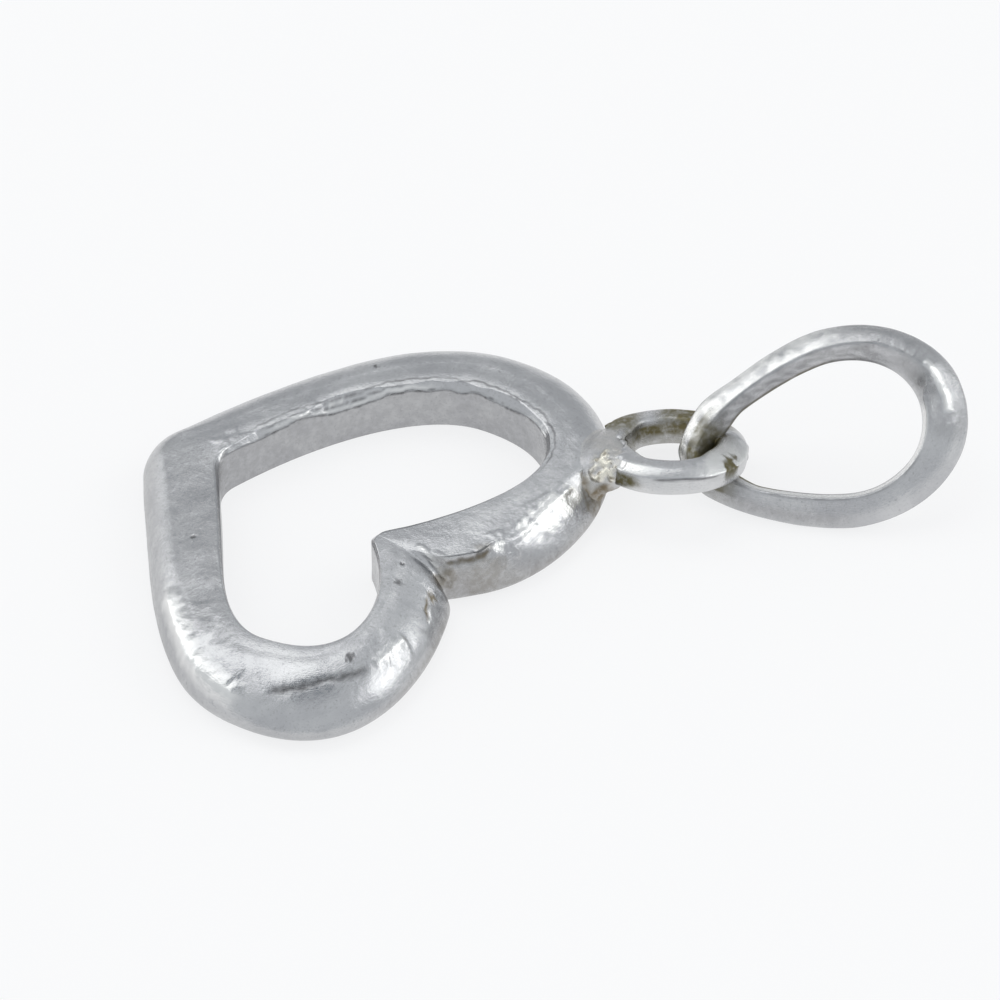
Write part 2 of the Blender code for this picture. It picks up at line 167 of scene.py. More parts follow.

# Lines on the heart: points, half width, depth (raised if negative), the kind of mark there and how
# much; the kinds are tarnish with painted shade, painted highlights, painted shade and marring
HEART_LINES = (
    (((1.05, 10.7, 2.1), (1.15, 11.0, 2.05), (1.32, 11.33, 1.92), (1.5, 11.6, 1.81),
      (1.61, 11.92, 1.63), (1.62, 12.2, 1.35)), 0.14, -0.1, "painted_highlight_and_cream", 0.9),
    (((1.05, 11.45, 1.95), (1.2, 11.7, 1.8), (1.33, 11.95, 1.6),
      (1.35, 12.2, 1.2)), 0.11, 0.05, "tarnish_and_shade", 1.0),
    (((1.75, 11.3, 1.98), (1.9, 11.6, 1.9), (2.05, 11.9, 1.75)), 0.12, 0.04, "tarnish_and_shade", 0.9),
    (((2.6, 11.97, 1.65), (3.06, 12.06, 1.66), (3.29, 12.15, 1.61), (3.64, 12.31, 1.52),
      (3.98, 12.48, 1.41)), 0.1, 0.03, "tarnish_and_shade", 1.0),
    (((1.9, 12.0, 1.5), (2.3, 12.2, 1.2), (2.8, 12.5, 0.8)), 0.12, 0.04, "tarnish_and_shade", 0.8),
    # Painted dark reflection in a smear along the right lobe
    (((9.96, 8.85, 1.65), (9.65, 9.45, 1.76), (9.37, 9.92, 1.81), (8.79, 10.46, 1.87),
      (8.3, 11.06, 1.83), (7.81, 11.47, 1.79), (7.26, 11.78, 1.75)), 0.27, 0.02, "shade", 1.0),
    (((1.2, 10.9, 2.14), (1.29, 11.06, 2.15), (1.39, 11.42, 2.0), (1.47, 11.67, 1.72),
      (1.51, 11.85, 1.43), (1.49, 12.07, 1.23)), 0.1, -0.06, "painted_highlight_and_cream", 1.0),
    (((3.3, 12.28, 1.5), (3.63, 12.45, 1.4), (3.92, 12.6, 1.3)), 0.07, -0.02, "painted_highlight_and_cream", 0.9),
    (((1.32, 11.94, 1.82), (1.0, 12.42, 1.91), (0.62, 12.86, 1.91), (0.3, 13.09, 1.96),
      (0.05, 13.2, 2.0)), 0.22, 0.05, "shade", 1.0),
    (((1.34, 11.94, 1.76), (1.02, 12.42, 1.86), (0.64, 12.88, 1.86), (0.32, 13.11, 1.92),
      (0.05, 13.22, 1.98)), 0.2, 0.0, "tarnish_and_shade", 0.7),
    (((1.02, 12.0, 2.0), (0.66, 12.5, 2.02), (0.15, 12.93, 2.05)), 0.06, 0.02, "shade", 0.8),
    (((-0.25, 13.34, 1.95), (-0.87, 13.65, 1.8), (-1.71, 13.95, 1.84), (-2.74, 14.2, 1.9),
      (-3.7, 14.38, 1.9), (-4.75, 14.55, 1.8)), 0.24, -0.04, "marred", 1.0),
    (((-5.52, 14.56, 1.87), (-5.05, 14.78, 1.62), (-4.75, 14.9, 1.45),
      (-4.55, 15.1, 1.2)), 0.15, 0.02, "tarnish_and_shade", 0.9),
    (((6.4, 12.12, 1.68), (6.62, 12.3, 1.52)), 0.07, 0.0, "shade", 0.8),
    (((6.9, 3.05, 1.72), (7.6, 3.7, 1.7), (8.46, 4.47, 1.64), (9.38, 5.35, 1.54), (10.01, 6.35, 1.47),
      (10.31, 7.32, 1.41), (10.45, 8.1, 1.38)), 0.62, -0.16, "painted_highlight_and_cream", 0.9),
    (((5.3, 12.22, 1.7), (5.53, 12.18, 1.71), (6.44, 11.97, 1.74),
      (7.1, 11.83, 1.74)), 0.3, -0.07, "painted_highlight_and_cream", 0.5),
    (((-3.05, 3.28, 2.04), (-3.8, 3.72, 2.02)), 0.12, -0.05, "painted_highlight_and_cream", 1.0),
    (((-4.45, 4.12, 1.96), (-5.0, 4.48, 1.95)), 0.1, -0.04, "painted_highlight_and_cream", 1.0),
    (((0.25, 1.95, 2.08), (-0.3, 1.73, 2.07), (-0.62, 1.8, 2.07)), 0.14, -0.05, "painted_highlight_and_cream", 1.0),
)

# Cloudy patches on the heart: centre, reach, kind and amount; the kinds are tarnish with painted shade,
# painted highlights, painted shade (also in the pits) and marring
HEART_PATCHES = (
    ((-5.5, 15.1, 1.25), 0.9, "tarnish_and_shade", 0.75),
    ((-4.9, 15.3, 0.8), 0.8, "tarnish_and_shade", 0.65),
    ((0.4, 13.2, 1.1), 1.1, "tarnish_and_shade", 0.32),
    ((3.3, 12.6, 1.1), 0.75, "shade", 0.5),
    ((4.1, 12.9, 0.85), 0.8, "shade", 0.45),
    ((2.85, 12.1, 1.5), 0.28, "tarnish_and_shade", 0.8),
    ((1.6, 12.1, 1.3), 0.6, "tarnish_and_shade", 0.55),
    ((0.3, 13.0, 0.9), 0.9, "tarnish_and_shade", 0.35),
    ((-3.0, 14.4, 1.7), 1.4, "marred", 1.0),
    ((-1.7, 14.0, 1.75), 0.55, "painted_highlight_and_cream", 0.9),
    ((-2.6, 14.25, 1.75), 0.7, "painted_highlight_and_cream", 0.9),
    ((-3.5, 14.45, 1.75), 0.7, "painted_highlight_and_cream", 0.9),
    ((-4.2, 14.6, 1.65), 0.5, "painted_highlight_and_cream", 0.8),
    ((-0.45, 13.45, 1.72), 0.8, "marred", 1.0),
    ((-0.35, 13.42, 1.93), 0.3, "painted_highlight_and_cream", 1.0),
    ((1.9, 12.0, 1.6), 1.0, "marred", 1.0),
    ((6.2, 12.4, 1.8), 1.2, "marred", 0.9),
    ((9.5, 6.6, 1.9), 1.3, "marred", 0.7),
    ((8.6, 4.9, 1.9), 1.3, "marred", 0.5),
    ((-3.2, 3.4, 1.9), 1.3, "marred", 0.8),
    ((-1.0, 1.9, 1.95), 0.9, "marred", 0.8),
    ((7.37, 11.02, 2.1), 0.26, "shade", 1.0),
    ((2.2, 10.61, 2.1), 0.12, "shade", 1.0),
    ((3.15, 10.91, 2.1), 0.2, "shade", 0.8),
    ((4.3, 2.88, 2.12), 0.13, "shade", 1.0),
    ((-7.24, 4.83, 2.05), 0.15, "shade", 0.9),
    ((-2.9, 3.1, 0.95), 0.08, "shade", 1.0),
)

# Painted dark lines and painted highlight flashes along the top's inner edge: first and last place, run
# up from the chamfer's foot, width, kind and amount
EDGE_LINES = (
    (0.52, 0.8, 0.02, 0.04, "shade", 1.0),
    (0.53, 0.68, 0.3, 0.05, "shade", 0.9),
    (0.52, 0.86, 0.58, 0.06, "shade", 0.85),
    (0.54, 0.7, 0.16, 0.07, "painted_highlight_and_cream", 0.8),
    (0.76, 0.88, 0.12, 0.06, "painted_highlight_and_cream", 0.6),
    (0.4, 0.49, 0.05, 0.04, "shade", 0.7),
    (0.93, 1.0, 0.05, 0.06, "shade", 0.8),
)

# Eyelet: sizes of the oval and its wire, pull of its curve, its middle, its spin and tilt
# (degrees), and the roll and slope of the wire's section
EYELET_LENGTH = 5.92
EYELET_BREADTH = 5.58
EYELET_WIDTH = 1.0
EYELET_DEPTH = 1.2
OVAL_PULL = 0.54
EYELET_AT = (-7.9983, 17.08511, 1.75)
EYELET_TURN = (117.1, -17.9)
EYELET_ROLL = radians(6.0)
EYELET_SLOPE = 0.17
EYELET_STEPS = 110
EYELET_SPOTS = 72
EYELET_POWER = 2 / 5
# Half sizes of the oval's middle line
EYELET_REACH = ((EYELET_LENGTH - EYELET_WIDTH) / 2, (EYELET_BREADTH - EYELET_WIDTH) / 2)

# Bail: sizes of the loop, and the wire's thickness and the curve's pull at the tip, the near arm,
# the wide end and the far arm
BAIL_LENGTH = 11.31
BAIL_BREADTH = 7.81
BAIL_WIDEST_AT = 6.06
BAIL_WIRES = (1.02, 1.37, 1.8, 1.37)
BAIL_PULLS = (1.35, 1.81, 2.22, 1.79)
BAIL_STEPS = 150
BAIL_SPOTS = 80
BAIL_POWER = 6.5
# Where the front ridge runs across the wire, from -1 at the inside to 1 outside; place runs from
# the tip over the near arm, the wide end (0.5) and the far arm
BAIL_RIDGE = (
    (0.0, -0.35), (0.1, -0.55), (0.25, -0.64), (0.4, -0.76), (0.515, -0.76), (0.57, 0.02),
    (0.66, -0.05), (0.75, -0.22), (0.9, -0.15),
)
# Rotation and place of the loop: three rows of a matrix
BAIL_PLACE = (
    (-0.48667, -0.60134, 0.63368, -8.1085),
    (0.84293, -0.51372, 0.15987, 17.87121),
    (0.2294, 0.61195, 0.7569, 1.42773),
)
# A painted highlight streak on the bail's wide end, and a spot of painted shade inside it
BAIL_CRESCENT = ((-13.4, 25.1, 5.2), (-13.23, 25.68, 4.91), (-12.87, 26.32, 4.27), (-12.38, 26.65, 3.81))
BAIL_SHADE_SPOT = (-12.72, 25.5, 4.62)

# Solder: middle and reach of the skin, its cream bead, the voxels' size and rounds of smoothing;
# the eyelet's foot in the eyelet's own frame, and how far it sinks into the solder
SOLDER_AT = (-6.6, 14.35, 1.65)
SOLDER_REACH = 2.45
SOLDER_CREAM = (-5.95, 15.35, 1.95)
SOLDER_VOXEL = 0.065
SOLDER_ROUNDS = 60
FOOT_AT = (-2.75, -0.3, 0.0)
FOOT_RADII = (0.75, 1.9, 1.2)
FOOT_SINK = 0.16
# Solder that fills the corner under the foot: centre and radii
SOLDER_BALLS = (
    ((-5.5, 14.95, 1.1), (0.75, 0.5, 0.7)),
    ((-6.1, 15.15, 1.45), (0.55, 0.45, 0.6)),
    ((-7.3, 14.4, 1.4), (0.55, 0.55, 0.5)),
    ((-6.74, 14.6, 1.6), (0.6, 0.58, 0.56)),
    ((-6.05, 15.1, 1.95), (0.6, 0.55, 0.52)),
)


def unit(values):
    return np.clip(values, 0, 1)


def ease(t):
    t = unit(t)
    return t * t * (3 - 2 * t)


def bell(offset, width):
    return np.exp(-((offset / width) ** 2))


def bezier(controls, shares):
    a, b, c, d = [np.asarray(control, float) for control in controls]
    t = np.asarray(shares)[:, None]
    return (1 - t) ** 3 * a + 3 * (1 - t) ** 2 * t * b + 3 * (1 - t) * t * t * c + t ** 3 * d


def summed(steps):
    return np.concatenate([[0.0], np.cumsum(steps)])


def lengths_along(points):
    return summed(norm(np.diff(points, axis=0), axis=1))


def evenly_spaced(points, steps):
    run = lengths_along(points)
    wanted = run[-1] * np.arange(steps) / steps
    return np.stack([np.interp(wanted, run, column) for column in points.T], axis=1)


def half_run(half, side, cleft, point):
    """Half an outline, from the cleft over the lobe to the point."""
    width, widest_y, cleft_angle, cleft_pull, shoulder, flank_pull, point_angle, point_pull = half
    leaving, arriving = radians(cleft_angle), radians(point_angle)
    widest = np.array([side * width, widest_y])
    up = np.array([0.0, 1.0])
    from_cleft = cleft + cleft_pull * np.array([side * sin(leaving), cos(leaving)])
    to_point = point + point_pull * np.array([side * sin(arriving), cos(arriving)])
    lobe = (cleft, from_cleft, widest + up * shoulder, widest)
    flank = (widest, widest - up * flank_pull, to_point, point)
    shares = np.linspace(0, 1, 1000)
    return np.vstack([
        evenly_spaced(bezier(lobe, shares), LOBE_STEPS),
        evenly_spaced(bezier(flank, shares), FLANK_STEPS),
        [point],
    ])


def round_corner(outline, corner, reach):
    count = len(outline)
    ends = []
    for direction in (-1, 1):
        index = corner
        while norm(outline[index % count] - outline[corner]) < reach:
            index += direction
        ends.append(index)
    first, last = ends
    start, apex, end = outline[first % count], outline[corner], outline[last % count]
    rounded = outline.copy()
    for index in range(first + 1, last):
        t = (index - first) / (last - first)
        rounded[index % count] = start * (1 - t) ** 2 + apex * 2 * t * (1 - t) + end * t * t
    return rounded


def heart_outline(right, left, cleft, point, corners):
    cleft_reach, point_reach = corners
    right_run = half_run(right, 1, cleft, point)
    left_run = half_run(left, -1, cleft, point)
    outline = np.vstack([right_run, left_run[-2:0:-1]])
    outline = round_corner(outline, len(right_run) - 1, point_reach)
    return round_corner(outline, 0, cleft_reach)


def keyed(keys, where):
    """Values between keys (place, value ...) round a closed run, eased from key to key."""
    keys = np.array(keys, float)
    index = np.searchsorted(keys[:, 0], where, "right") - 1
    this, following = keys[index], keys[(index + 1) % len(keys)]
    span = (following[:, 0] - this[:, 0]) % 1.0
    share = ease((where - this[:, 0]) / span)
    return this[:, 1:] + (following[:, 1:] - this[:, 1:]) * share[:, None]


def band_profile(width, outer_round, power, chamfer, fall):
    """One section as (distance from the inner edge, height), from the inner foot over the top."""
    top = THICKNESS - TOP_SINK
    points = [(FOOT_BEVEL[0], 0.0), (0.0, FOOT_BEVEL[1])]
    points += [(0.0, z) for z in np.linspace(FOOT_BEVEL[1], top - chamfer, WALL_SPOTS)[1:]]
    start, end = chamfer * CHAMFER_LEAN, width - outer_round
    for t in np.linspace(0, 1, CHAMFER_SPOTS)[1:]:
        points.append((start * t, top - chamfer * (1 - t)))
    for t in np.linspace(0, 1, TOP_SPOTS)[1:-1]:
        rise = 0.02 * sin(pi * min(t * 1.3, 1.0))
        points.append((start + (end - start) * t, top + rise - fall * t * t))
    climb = top - fall - WIDEST_HEIGHT
    for t in np.linspace(0, pi / 2, ROUND_SPOTS):
        reach = max(sin(t), 0.0) ** (2 / power)
        lift = max(cos(t), 0.0) ** (2 / power)
        points.append((width - outer_round * (1 - reach), WIDEST_HEIGHT + climb * lift))
    for t in np.linspace(0, pi / 2, BACK_SPOTS)[1:]:
        points.append((width - BACK_ROUND * (1 - cos(t)), WIDEST_HEIGHT * (1 - sin(t))))
    inner, outer = points[0][0], points[-1][0]
    points += [(outer + (inner - outer) * t, 0.0) for t in np.linspace(0, 1, BACK_SPOTS)[1:-1]]
    return np.array(points)


def grid_normals(grid):
    along = np.roll(grid, -1, 0) - np.roll(grid, 1, 0)
    around = np.roll(grid, -1, 1) - np.roll(grid, 1, 1)
    normals = np.cross(along, around)
    normals /= norm(normals, axis=2, keepdims=True) + 1e-12
    outward = np.sign(((grid - grid.mean(axis=1, keepdims=True)) * normals).sum(axis=2).mean())
    return normals * outward


def rolling(points, wave, seed):
    """Smooth noise at each point; wave is its wavelength."""
    offset = Vector((seed * 13.7, seed * 7.3, seed * 3.1))
    flat = points.reshape(-1, 3) / wave
    values = [noise.noise(Vector(point) + offset) for point in flat]
    return np.array(values).reshape(points.shape[:-1])


def closed_noise(place, wave, seed):
    """Smooth noise along a closed run, on which place goes from 0 to 1."""
    angle = 2 * pi * place
    circle = np.stack([np.cos(angle), np.sin(angle), 0 * place], axis=1) * NOISE_CIRCLE
    return rolling(circle, wave, seed)


def distance_to_path(points, path):
    """Distance from each point to a path, and the share of the path where it is nearest."""
    path = np.asarray(path, float)
    best = np.full(points.shape[:-1], 1e9)
    share = np.zeros(points.shape[:-1])
    for index, (a, b) in enumerate(zip(path, path[1:])):
        along = b - a
        t = unit(((points - a) @ along) / (along @ along))
        distance = norm(points - (a + t[..., None] * along), axis=-1)
        closer = distance < best
        best[closer] = distance[closer]
        share[closer] = (index + t[closer]) / (len(path) - 1)
    return best, share


def close_seam(lengths, whole):
    """On faces across a closed run's seam, lengths near its start are moved past its end."""
    across_seam = (lengths.max(axis=1) - lengths.min(axis=1) > whole / 2)[:, None]
    lengths[across_seam & (lengths < whole / 2)] += whole


def link_object(name, data):
    obj = bpy.data.objects.new(name, data)
    bpy.context.scene.collection.objects.link(obj)
    return obj


def finish_mesh(mesh, material, wear_and_painted_light):
    mesh.polygons.foreach_set("use_smooth", [True] * len(mesh.polygons))
    mesh.materials.append(material)
    for kind in WEAR_AND_PAINTED_LIGHT:
        attribute = mesh.attributes.new(kind, "FLOAT", "POINT")
        attribute.data.foreach_set("value", np.asarray(wear_and_painted_light[kind], float).ravel())


def grid_mesh(name, grid, material, wear_and_painted_light):
    """A mesh object, in metres, of a closed tube of points [station, spot]."""
    stations, spots = grid.shape[:2]
    index = np.arange(stations * spots).reshape(stations, spots)
    beyond = np.roll(index, -1, 0)
    corners = (index, beyond, np.roll(beyond, -1, 1), np.roll(index, -1, 1))
    faces = np.stack(corners, axis=2).reshape(-1, 4)
    centre = grid.mean(axis=1)
    first = grid.reshape(-1, 3)[faces[:spots]]
    facing = np.cross(first[:, 1] - first[:, 0], first[:, 2] - first[:, 1])
    if ((first.mean(axis=1) - centre[:2].mean(axis=0)) * facing).sum() < 0:
        faces = faces[:, ::-1]
    mesh = bpy.data.meshes.new(name)
    mesh.from_pydata((grid.reshape(-1, 3) * MM).tolist(), [], faces.tolist())
    along = lengths_along(centre)
    whole_run = along[-1] + norm(centre[0] - centre[-1])
    around = summed(norm(np.diff(grid, axis=1), axis=2).mean(axis=0))
    whole_turn = around[-1] + norm(grid[:, 0] - grid[:, -1], axis=1).mean()
    layer = mesh.uv_layers.new(name="band")
    station, spot = np.divmod(faces, spots)
    u, v = along[station], around[spot]
    close_seam(u, whole_run)
    close_seam(v, whole_turn)
    layer.data.foreach_set("uv", np.stack([u, v], axis=2).ravel())
    finish_mesh(mesh, material, wear_and_painted_light)
    return link_object(name, mesh)


def closed_curve(controls, steps):
    """Points round a closed curve of (anchor, arriving handle, leaving handle)."""
    runs = []
    shares = np.linspace(0, 1, steps + 1)[:-1]
    for index, (anchor, _, leaving) in enumerate(controls):
        following, arriving, _ = controls[(index + 1) % len(controls)]
        runs.append(bezier((anchor, leaving, arriving, following), shares))
    return np.vstack(runs)


def sweep(path, normals, across, height):
    """Tube grid round a flat path; across and height are [station, spot] offsets in its section."""
    up = np.array([0.0, 0.0, 1.0])
    return path[:, None] + normals[:, None] * across[..., None] + up * height[..., None]


def path_normals(path):
    tangents = np.roll(path, -1, 0) - np.roll(path, 1, 0)
    tangents /= norm(tangents, axis=1, keepdims=True)
    return np.stack([tangents[:, 1], -tangents[:, 0], 0 * tangents[:, 0]], axis=1)


def inside_box(grid, name):
    """Keeps the grid's points inside the solid's box."""
    low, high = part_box(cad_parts[name].name)
    return np.clip(grid, np.array(low) / MM, np.array(high) / MM)


def clipped(wear_and_painted_light):
    return {kind: unit(values) for kind, values in wear_and_painted_light.items()}


class Nodes:
    """Short calls for building a node tree."""

    def __init__(self, tree):
        self.tree = tree

    def feed(self, node, values):
        """Gives a node's inputs, by name or number, values or other nodes' outputs."""
        for key, value in values.items():
            if isinstance(value, bpy.types.NodeSocket):
                self.tree.links.new(value, node.inputs[key])
            elif value is not None:
                node.inputs[key].default_value = value

    def add(self, kind, values=None, **settings):
        node = self.tree.nodes.new(kind)
        for name, value in settings.items():
            setattr(node, name, value)
        self.feed(node, values or {})
        return node

    def math(self, operation, a, b=None, c=None, clamp=False):
        values = {0: a, 1: b, 2: c}
        return self.add("ShaderNodeMath", values, operation=operation, use_clamp=clamp).outputs[0]

    def vector(self, operation, a, b):
        node = self.add("ShaderNodeVectorMath", {0: a, 1: b}, operation=operation)
        return node.outputs["Value" if operation == "DOT_PRODUCT" else "Vector"]

    def mapped(self, value, low, high, to_low=0.0, to_high=1.0):
        values = {0: value, 1: low, 2: high, 3: to_low, 4: to_high}
        return self.add("ShaderNodeMapRange", values, interpolation_type="SMOOTHSTEP").outputs[0]

    def mix(self, factor, a, b):
        # Inputs 6 and 7 are the two colours, and output 2 is the mixed one
        return self.add("ShaderNodeMix", {0: factor, 6: a, 7: b}, data_type="RGBA").outputs[2]

    def noise(self, vector, scale, detail, roughness, distortion=0.0):
        values = {"Vector": vector, "Scale": scale, "Detail": detail, "Roughness": roughness,
                  "Distortion": distortion}
        return self.add("ShaderNodeTexNoise", values).outputs[0]

    def attribute(self, name):
        return self.add("ShaderNodeAttribute", attribute_name=name).outputs["Fac"]

    def bump(self, height, distance, normal=None):
        values = {"Strength": 1.0, "Distance": distance, "Height": height, "Normal": normal}
        return self.add("ShaderNodeBump", values).outputs[0]


def silver(name, seed, light, dark, tarnish, roughness, bright=PAINTED_HIGHLIGHT_SILVER, brushed=0.008):
    """Worn silver: cloudy colour, fine scratches and pits, tarnish, painted shade and painted
    highlights, and rougher marred places.
    """
    material = bpy.data.materials.new(name)
    material.use_nodes = True
    n = Nodes(material.node_tree)
    shader = material.node_tree.nodes["Principled BSDF"]
    coordinates = n.add("ShaderNodeTexCoord")
    place = n.vector("ADD", coordinates.outputs["Object"], (seed * 0.01, seed * 0.02, 0.0))
    band = n.add("ShaderNodeUVMap", uv_map="band").outputs[0]
    clouds = n.noise(place, 420.0, 4.0, 0.6, 0.4)
    grain = n.noise(place, 3300.0, 4.0, 0.65)
    fine = n.noise(place, 11000.0, 2.0, 0.5)
    scratches = n.noise(n.vector("MULTIPLY", band, (0.5, 4.0, 1.0)), 6.0, 6.0, 0.7)
    marred = n.attribute("marred")
    colour = n.mix(n.mapped(clouds, 0.35, 0.68), dark, light)
    colour = n.mix(n.math("MULTIPLY", n.mapped(fine, 0.56, 0.74), 0.35), colour, SPECK_COLOUR)
    colour = n.mix(n.math("MULTIPLY", n.mapped(scratches, 0.56, 0.72), 0.16), colour, SPECK_COLOUR)
    # Painted highlights cover painted shade, and the tarnish colour, which marks both tarnish and
    # painted shade, covers both
    shade = n.math("MULTIPLY", n.attribute("shade"), n.mapped(grain, 0.3, 0.62, 0.75, 1.1), clamp=True)
    colour = n.mix(shade, colour, SHADE_COLOUR)
    colour = n.mix(n.attribute("painted_highlight_and_cream"), colour, bright)
    tarnish_and_shade = n.math("MULTIPLY", n.attribute("tarnish_and_shade"), n.mapped(grain, 0.3, 0.62, 0.55, 1.2), clamp=True)
    colour = n.mix(tarnish_and_shade, colour, tarnish)
    spread, uneven = roughness, n.mapped(clouds, 0.3, 0.7)
    for value, amount in ((uneven, 0.08), (fine, 0.05), (shade, 0.12), (tarnish_and_shade, 0.25)):
        spread = n.math("MULTIPLY_ADD", value, amount, spread)
    # From the widest dents to the finest pits
    dents = n.math("MULTIPLY_ADD", marred, 0.6, 0.4)
    dents = n.math("MULTIPLY", dents, n.noise(place, 1100.0, 2.0, 0.5))
    normal = n.bump(dents, 0.05 * MM)
    pits = n.math("MULTIPLY", n.math("MULTIPLY_ADD", marred, 2.6, 1.0), grain)
    normal = n.bump(pits, 0.01 * MM, normal)
    normal = n.bump(scratches, brushed * MM, normal)
    normal = n.bump(fine, 0.0035 * MM, normal)
    n.feed(shader, {"Base Color": colour, "Metallic": 1.0, "Roughness": spread, "Normal": normal})
    return material


def heart_band():
    """The band before its marks: its points, each station's place, and each spot's distance from the
    inner edge and run up from the chamfer's foot."""
    outer = heart_outline(OUTER_RIGHT, OUTER_LEFT, OUTER_CLEFT, OUTER_POINT, OUTER_CORNERS)
    inner = heart_outline(INNER_RIGHT, INNER_LEFT, INNER_CLEFT, INNER_POINT, INNER_CORNERS)
    count = len(outer)
    from_cleft = norm(outer - OUTER_CLEFT, axis=1)[:, None]
    outer = outer + CLEFT_SHIFT * bell(from_cleft, CLEFT_SHIFT_REACH)
    place = np.arange(count) / count
    section = keyed(SECTION_KEYS, place)
    uneven = 0.5 * closed_noise(place, 0.9, 3) + closed_noise(place, 2.6, 4)
    ragged = np.maximum(1 + section[:, 4] * uneven, 0.3)
    grid, reach_in, section_run = [], [], []
    for index in range(count):
        across = outer[index] - inner[index]
        width = norm(across)
        across /= width
        outer_round, power, chamfer, fall, _ = section[index]
        outer_round = min(outer_round, width * WIDEST_ROUND)
        spots = band_profile(width, outer_round, power, chamfer * ragged[index], fall)
        flat = inner[index] + across * spots[:, :1]
        grid.append(np.column_stack([flat, spots[:, 1]]))
        reach_in.append(spots[:, 0])
        length = lengths_along(spots)
        section_run.append(length - length[WALL_SPOTS])
    return np.array(grid), place, np.array(reach_in), np.array(section_run)


def mark_heart(grid, normals, place, reach_in, section_run):
    """The band with its lines pressed in or raised, and its tarnish, painted shade, painted highlights
    and marring.
    """
    wear_and_painted_light = {kind: 0 * reach_in for kind in WEAR_AND_PAINTED_LIGHT}
    facing = normals[..., 2]
    inward = ease((0.1 - reach_in) / 0.1)
    # Painted shade on the inner wall, and the shade colour a little all over
    wear_and_painted_light["shade"] += 0.32 * inward + 0.08
    # Low on the outer wall: painted shade all round, more between the eyelet and the cleft, and tarnish
    # with painted shade on both lobes; painted shade over the whole near flank
    low_wall = ease((0.75 - facing) / 0.6) * (1 - inward)
    lobes = unit(ease((place - 0.72) / 0.12) + ease((0.2 - place) / 0.12))[:, None]
    wear_and_painted_light["tarnish_and_shade"] += 0.22 * low_wall * lobes
    wear_and_painted_light["shade"] += low_wall * (0.13 + 0.1 * ease((place - 0.9) / 0.04)[:, None])
    near_flank = ease((place - 0.29) / 0.06) * ease((0.52 - place) / 0.04)
    wear_and_painted_light["shade"] += 0.17 * near_flank[:, None]
    wear_and_painted_light["marred"] += 0.25 * ease((place - 0.55) / 0.1)[:, None]
    wobble = np.stack([rolling(grid, 0.3, seed) for seed in (5, 15, 25)], axis=-1)
    warped = grid + 0.09 * wobble
    for path, width, depth, kind, amount in HEART_LINES:
        away, share = distance_to_path(warped, path)
        away = away / width
        near = unit(1 - away) if depth < 0 else ease(1 - away)
        near = near * ease(share / 0.15 + 0.2) * ease((1 - share) / 0.15 + 0.2)
        grid = grid - normals * (depth * near)[..., None]
        wear_and_painted_light[kind] = np.maximum(wear_and_painted_light[kind], amount * near)
    for centre, reach, kind, amount in HEART_PATCHES:
        away = norm(grid - centre, axis=-1) / reach
        patch = ease((1 - away + 0.55 * rolling(grid, reach * 0.5, 6)) / 0.45)
        wear_and_painted_light[kind] = np.maximum(wear_and_painted_light[kind], amount * patch)
    waver = 0.1 * closed_noise(place, 0.8, 7) + 0.07 * closed_noise(place, 0.25, 8)
    broken = np.clip(0.9 + 0.9 * closed_noise(place, 0.9, 9), 0.1, 1)
    for first, last, from_foot, width, kind, amount in EDGE_LINES:
        stretch = ease((place - first) / 0.03) * ease((last - place) / 0.03) * broken
        strip = bell(section_run - from_foot - waver[:, None], width) * (section_run < 2)
        wear_and_painted_light[kind] = np.maximum(wear_and_painted_light[kind], amount * stretch[:, None] * strip)
    return grid, clipped(wear_and_painted_light)


def make_heart(material):
    grid, place, reach_in, section_run = heart_band()
    normals = grid_normals(grid)
    above = ease((grid[..., 2] - 0.1) / 0.5)
    hammered = 0.03 * rolling(grid, 2.6, 1) + 0.012 * rolling(grid, 1.1, 2) - 0.022
    grid = grid + normals * (hammered * above)[..., None]
    for centre, reach, depth in HEART_DENTS:
        away = norm(grid - centre, axis=-1) / reach
        grid = grid - normals * (depth * unit(1 - away * away) ** 2)[..., None]
    grid, wear_and_painted_light = mark_heart(grid, normals, place, reach_in, section_run)
    heart = grid_mesh("heart", inside_box(grid, "heart_frame"), material, wear_and_painted_light)
    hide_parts("heart_frame")
    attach(heart, "pendant")
    return heart


def eyelet_rotation():
    spin, tilt = [radians(angle) for angle in EYELET_TURN]
    return np.array(Matrix.Rotation(spin, 3, "Z") @ Matrix.Rotation(tilt, 3, "X"))


def eyelet_path():
    """The oval in its own frame: x runs away from the heart, and the far bar is at positive y."""
    along, aside = EYELET_REACH
    controls = []
    ends = ((along, 0, 0, aside), (0, aside, -along, 0), (-along, 0, 0, -aside), (0, -aside, along, 0))
    for x, y, u, v in ends:
        anchor = np.array([x, y, 0.0])
        handle = np.array([u, v, 0.0]) * OVAL_PULL
        controls.append((anchor, anchor - handle, anchor + handle))
    return closed_curve(controls, EYELET_STEPS)


